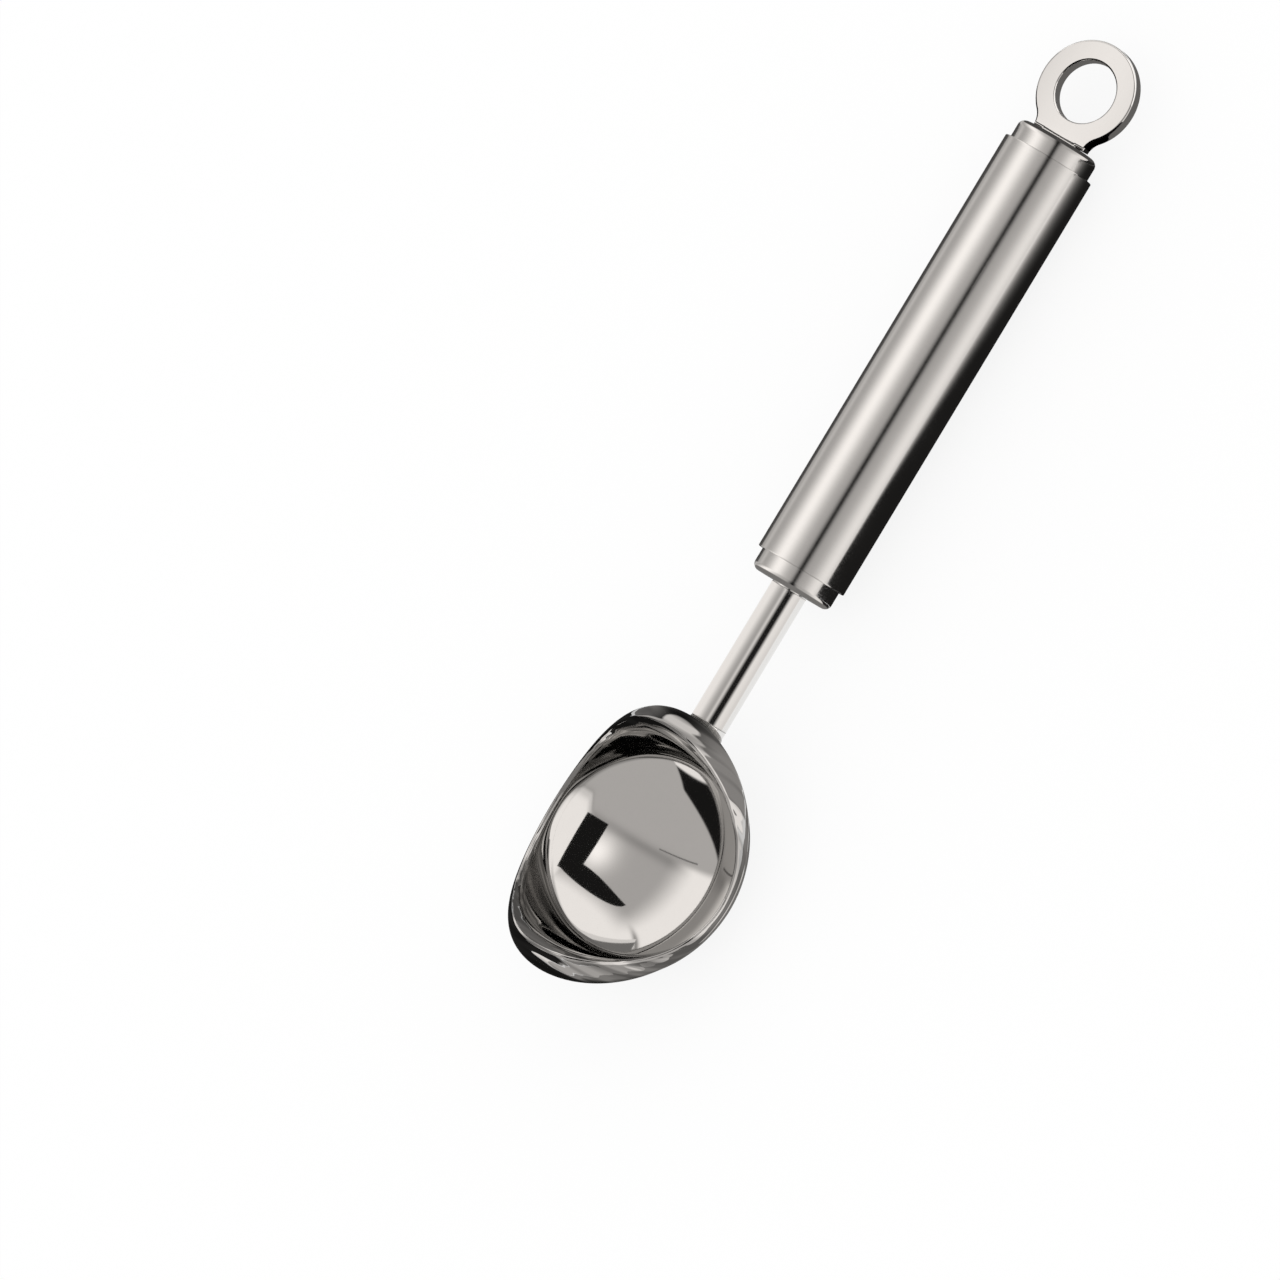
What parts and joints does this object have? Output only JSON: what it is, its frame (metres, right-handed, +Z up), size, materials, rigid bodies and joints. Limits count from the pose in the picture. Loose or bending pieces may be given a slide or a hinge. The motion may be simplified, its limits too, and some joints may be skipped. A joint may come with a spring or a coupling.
{
  "type": "ice cream scoop",
  "caption": "All-steel ice cream scoop: oval bowl with a ridged lip on a round rod, a closed tubular handle and a flat hanging ring.",
  "frame": {"origin": "on the table, under the middle of the scoop's box, with the scoop lying on its bowl and on the rear edge of its handle tube", "axes": "+Y runs along the scoop from the bowl to the hanging ring, +Z is up out of the bowl's opening, and +X is across it"},
  "size_m": [0.0468, 0.2192, 0.0304],
  "materials": {
    "polished_steel": "mirror-polished stainless steel",
    "satin_steel": "fine satin stainless steel",
    "weld_steel": "weld bead, dressed but not polished"
  },
  "bodies": {
    "root": {"bowl": "polished_steel", "bowl_weld": "weld_steel", "rod": "polished_steel", "front_cap": "satin_steel", "rod_weld": "weld_steel", "handle_tube": "satin_steel", "rear_cap": "satin_steel", "hanging_ring": "polished_steel", "ring_weld_upper": "weld_steel", "ring_weld_lower": "weld_steel"}
  },
  "joints": []
}
